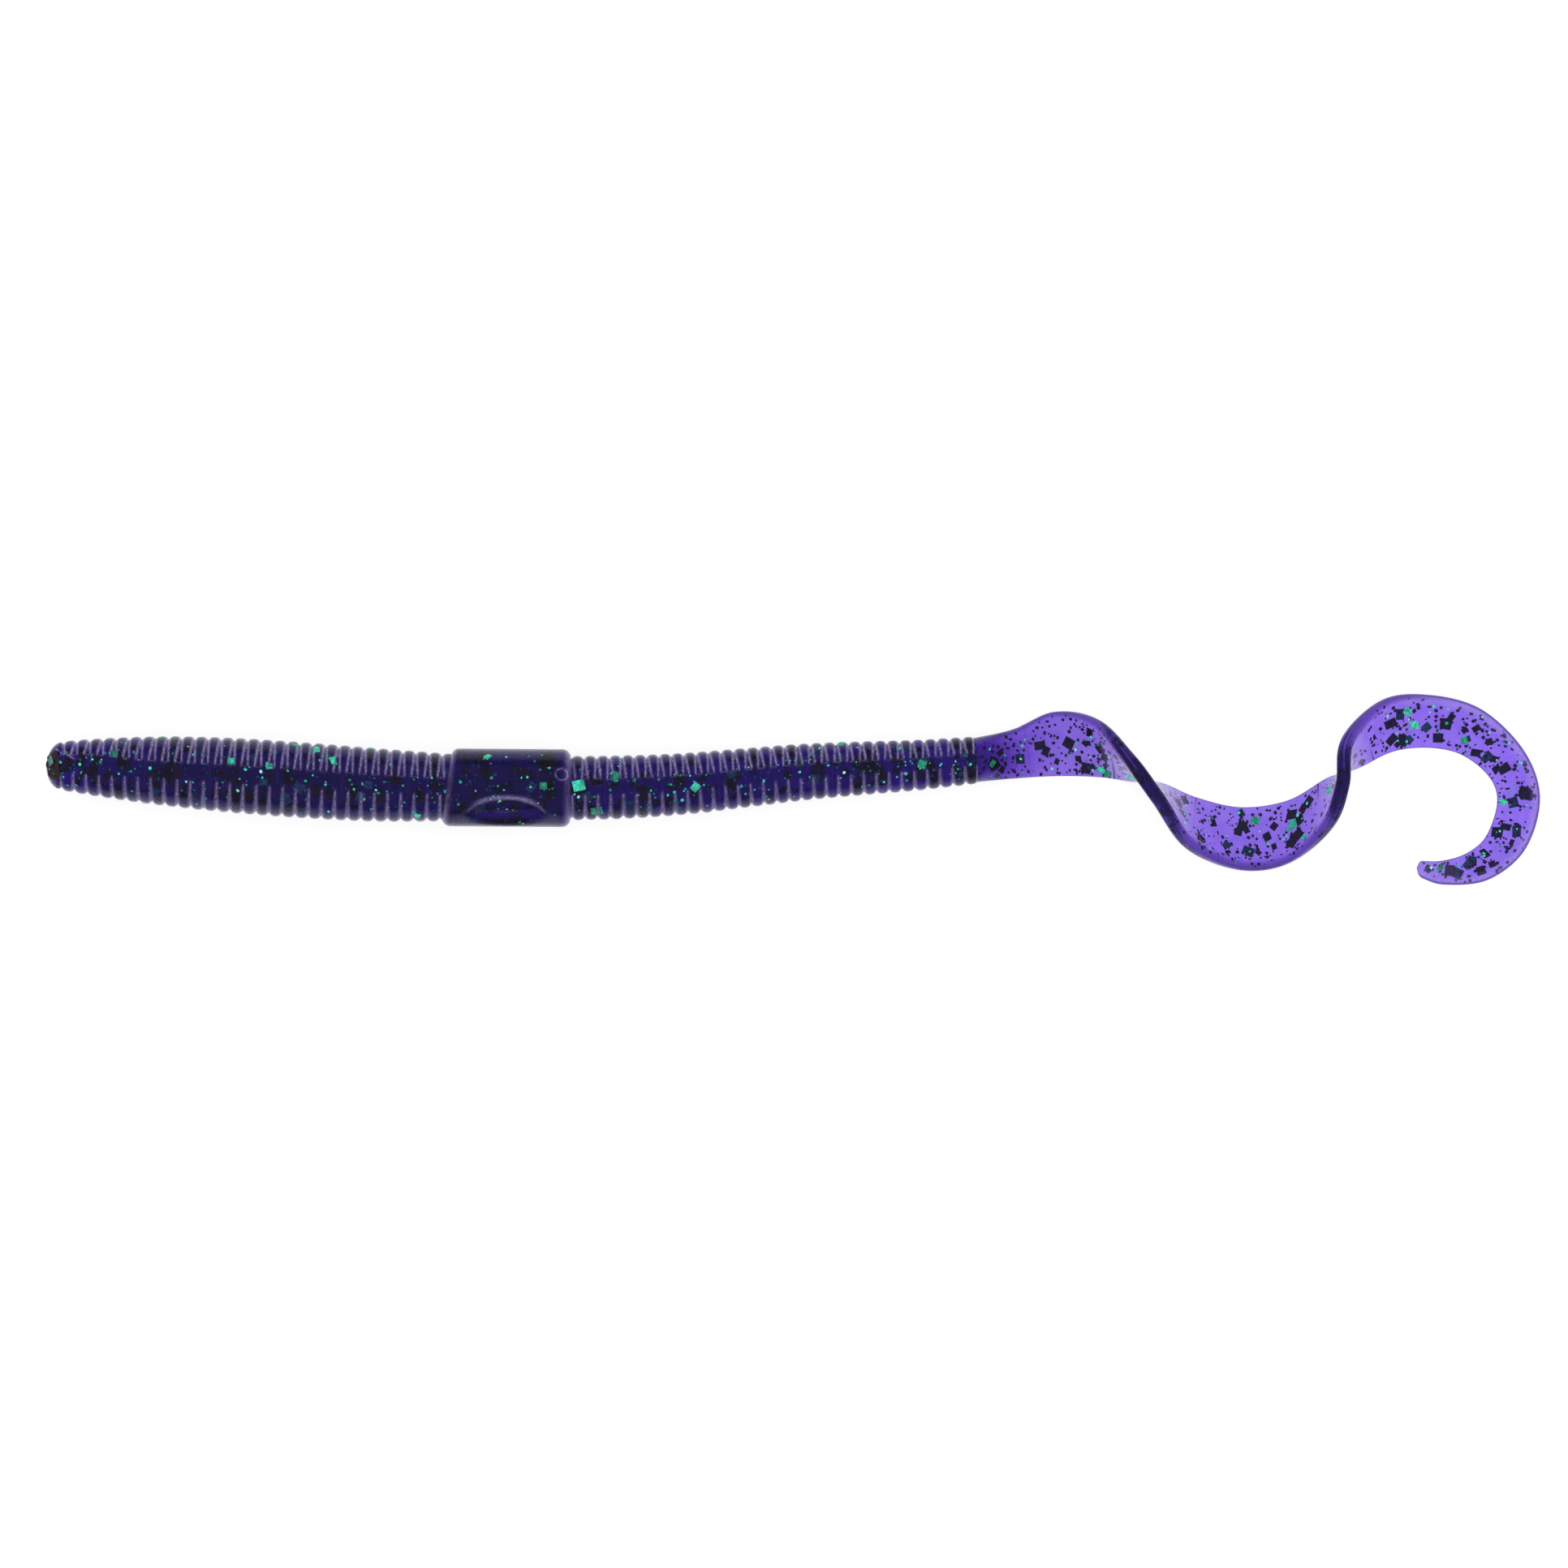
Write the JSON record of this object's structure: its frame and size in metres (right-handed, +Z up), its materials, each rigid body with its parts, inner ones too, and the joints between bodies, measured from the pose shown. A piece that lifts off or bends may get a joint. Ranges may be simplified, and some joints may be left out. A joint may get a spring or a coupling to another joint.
{
  "type": "soft plastic worm",
  "caption": "Soft plastic fishing worm with a ringed round body, a smooth egg sack and a long twisted ribbon tail that ends in a curl, with glitter inside",
  "frame": {"origin": "centre of the bounding box in X and Y, on the surface that the worm lies on", "axes": "+X along the worm from the nose to the tail's curl, +Z up from the surface, +Y across it"},
  "size_m": [0.1535, 0.0196, 0.008],
  "materials": {
    "body_plastic": "soft translucent plastic, deep purple, satin wet look",
    "tail_plastic": "the same plastic where it is thin: bright translucent violet",
    "glitter": "metallised green flakes"
  },
  "bodies": {
    "nose": {"nose": "body_plastic", "nose_glitter": "glitter"},
    "front_5": {"front_5": "body_plastic", "front_5_glitter": "glitter"},
    "front_4": {"front_4": "body_plastic", "front_4_glitter": "glitter"},
    "front_3": {"front_3": "body_plastic", "front_3_glitter": "glitter"},
    "front_2": {"front_2": "body_plastic", "front_2_glitter": "glitter"},
    "front_1": {"front_1": "body_plastic", "front_1_glitter": "glitter"},
    "egg_sack": {"egg_sack": "body_plastic", "egg_sack_glitter": "glitter"},
    "rear_1": {"rear_1": "body_plastic", "rear_1_glitter": "glitter"},
    "rear_2": {"rear_2": "body_plastic", "rear_2_glitter": "glitter"},
    "rear_3": {"rear_3": "body_plastic", "rear_3_glitter": "glitter"},
    "rear_4": {"rear_4": "body_plastic", "rear_4_glitter": "glitter"},
    "rear_5": {"rear_5": "body_plastic", "rear_5_glitter": "glitter"},
    "rear_6": {"rear_6": "body_plastic", "rear_6_glitter": "glitter"},
    "rear_7": {"rear_7": "body_plastic", "rear_7_glitter": "glitter"},
    "tail_root": {"tail_root": "tail_plastic", "tail_root_glitter": "glitter"},
    "tail_1": {"tail_1": "tail_plastic", "tail_1_glitter": "glitter"},
    "tail_2": {"tail_2": "tail_plastic", "tail_2_glitter": "glitter"},
    "tail_3": {"tail_3": "tail_plastic", "tail_3_glitter": "glitter"},
    "tail_4": {"tail_4": "tail_plastic", "tail_4_glitter": "glitter"},
    "tail_5": {"tail_5": "tail_plastic", "tail_5_glitter": "glitter"},
    "tail_6": {"tail_6": "tail_plastic", "tail_6_glitter": "glitter"},
    "tail_7": {"tail_7": "tail_plastic", "tail_7_glitter": "glitter"},
    "tail_tip": {"tail_tip": "tail_plastic", "tail_tip_glitter": "glitter"}
  },
  "joints": [
    {"name": "front_1_sway", "type": "hinge", "parent": "egg_sack", "child": "front_1", "pos_m": [-0.03606, 0.00025, 0.004], "axis": [0, 0, 1], "range_deg": [-20, 20], "stiffness_Nm_per_rad": 0.0006},
    {"name": "front_2_lift", "type": "hinge", "parent": "front_1", "child": "front_2", "pos_m": [-0.04276, 0.0005, 0.00397], "axis": [0.0628, 0.998, 0], "range_deg": [0, 26], "stiffness_Nm_per_rad": 0.0006},
    {"name": "front_3_sway", "type": "hinge", "parent": "front_2", "child": "front_3", "pos_m": [-0.04944, 0.00092, 0.00395], "axis": [0, 0, 1], "range_deg": [-20, 20], "stiffness_Nm_per_rad": 0.0006},
    {"name": "front_4_lift", "type": "hinge", "parent": "front_3", "child": "front_4", "pos_m": [-0.05613, 0.00138, 0.00392], "axis": [0.0645, 0.9979, 0], "range_deg": [0, 26], "stiffness_Nm_per_rad": 0.0006},
    {"name": "front_5_sway", "type": "hinge", "parent": "front_4", "child": "front_5", "pos_m": [-0.06281, 0.00182, 0.00372], "axis": [0, 0, 1], "range_deg": [-20, 20], "stiffness_Nm_per_rad": 0.0006},
    {"name": "nose_lift", "type": "hinge", "parent": "front_5", "child": "nose", "pos_m": [-0.0695, 0.00219, 0.00332], "axis": [0.0489, 0.9988, 0], "range_deg": [0, 26], "stiffness_Nm_per_rad": 0.0006},
    {"name": "rear_1_sway", "type": "hinge", "parent": "egg_sack", "child": "rear_1", "pos_m": [-0.02268, 0.00015, 0.004], "axis": [0, 0, 1], "range_deg": [-20, 20], "stiffness_Nm_per_rad": 0.0006},
    {"name": "rear_2_lift", "type": "hinge", "parent": "rear_1", "child": "rear_2", "pos_m": [-0.01618, 0.00031, 0.00376], "axis": [0.0593, -0.9982, 0], "range_deg": [0, 26], "stiffness_Nm_per_rad": 0.0006},
    {"name": "rear_3_sway", "type": "hinge", "parent": "rear_2", "child": "rear_3", "pos_m": [-0.01099, 0.00062, 0.00349], "axis": [0, 0, 1], "range_deg": [-20, 20], "stiffness_Nm_per_rad": 0.0006},
    {"name": "rear_4_lift", "type": "hinge", "parent": "rear_3", "child": "rear_4", "pos_m": [-0.00452, 0.00125, 0.00323], "axis": [0.0993, -0.9951, 0], "range_deg": [0, 26], "stiffness_Nm_per_rad": 0.0006},
    {"name": "rear_5_sway", "type": "hinge", "parent": "rear_4", "child": "rear_5", "pos_m": [0.00065, 0.00177, 0.00309], "axis": [0, 0, 1], "range_deg": [-20, 20], "stiffness_Nm_per_rad": 0.0006},
    {"name": "rear_6_lift", "type": "hinge", "parent": "rear_5", "child": "rear_6", "pos_m": [0.00714, 0.0022, 0.00291], "axis": [0.0558, -0.9984, 0], "range_deg": [0, 26], "stiffness_Nm_per_rad": 0.0006},
    {"name": "rear_7_sway", "type": "hinge", "parent": "rear_6", "child": "rear_7", "pos_m": [0.01233, 0.00249, 0.00278], "axis": [0, 0, 1], "range_deg": [-20, 20], "stiffness_Nm_per_rad": 0.0006},
    {"name": "tail_root_lift", "type": "hinge", "parent": "rear_7", "child": "tail_root", "pos_m": [0.01881, 0.00303, 0.0026], "axis": [0.1705, -0.9854, 0], "range_deg": [0, 26], "stiffness_Nm_per_rad": 0.0001},
    {"name": "tail_1_flap", "type": "hinge", "parent": "tail_root", "child": "tail_1", "pos_m": [0.02878, 0.0047, 0.00093], "axis": [0.0753, -0.9747, -0.2104], "range_deg": [0, 20], "stiffness_Nm_per_rad": 0.00002},
    {"name": "tail_2_sway", "type": "hinge", "parent": "tail_1", "child": "tail_2", "pos_m": [0.03634, 0.00082, 0.00342], "axis": [0, 0, 1], "range_deg": [-20, 20], "stiffness_Nm_per_rad": 0.00002},
    {"name": "tail_3_flap", "type": "hinge", "parent": "tail_2", "child": "tail_3", "pos_m": [0.04793, -0.00502, 0.00054], "axis": [-0.0066, -0.9947, 0.1029], "range_deg": [0, 20], "stiffness_Nm_per_rad": 0.00002},
    {"name": "tail_4_sway", "type": "hinge", "parent": "tail_3", "child": "tail_4", "pos_m": [0.05632, 0.00126, 0.00312], "axis": [0, 0, 1], "range_deg": [-20, 20], "stiffness_Nm_per_rad": 0.00002},
    {"name": "tail_5_flap", "type": "hinge", "parent": "tail_4", "child": "tail_5", "pos_m": [0.06434, 0.00706, 0.00061], "axis": [0.0548, -0.9878, -0.1457], "range_deg": [0, 20], "stiffness_Nm_per_rad": 0.00002},
    {"name": "tail_6_curl", "type": "hinge", "parent": "tail_5", "child": "tail_6", "pos_m": [0.07196, 0.00417, 0.00043], "axis": [0, 0, 1], "range_deg": [-18, 18], "stiffness_Nm_per_rad": 0.00002},
    {"name": "tail_7_flap", "type": "hinge", "parent": "tail_6", "child": "tail_7", "pos_m": [0.07424, -0.00281, 0.00035], "axis": [-0.9941, 0.0854, -0.0673], "range_deg": [0, 20], "stiffness_Nm_per_rad": 0.00002},
    {"name": "tail_tip_curl", "type": "hinge", "parent": "tail_7", "child": "tail_tip", "pos_m": [0.06961, -0.00814, 0.0003], "axis": [0, 0, 1], "range_deg": [-18, 18], "stiffness_Nm_per_rad": 0.00002}
  ]
}
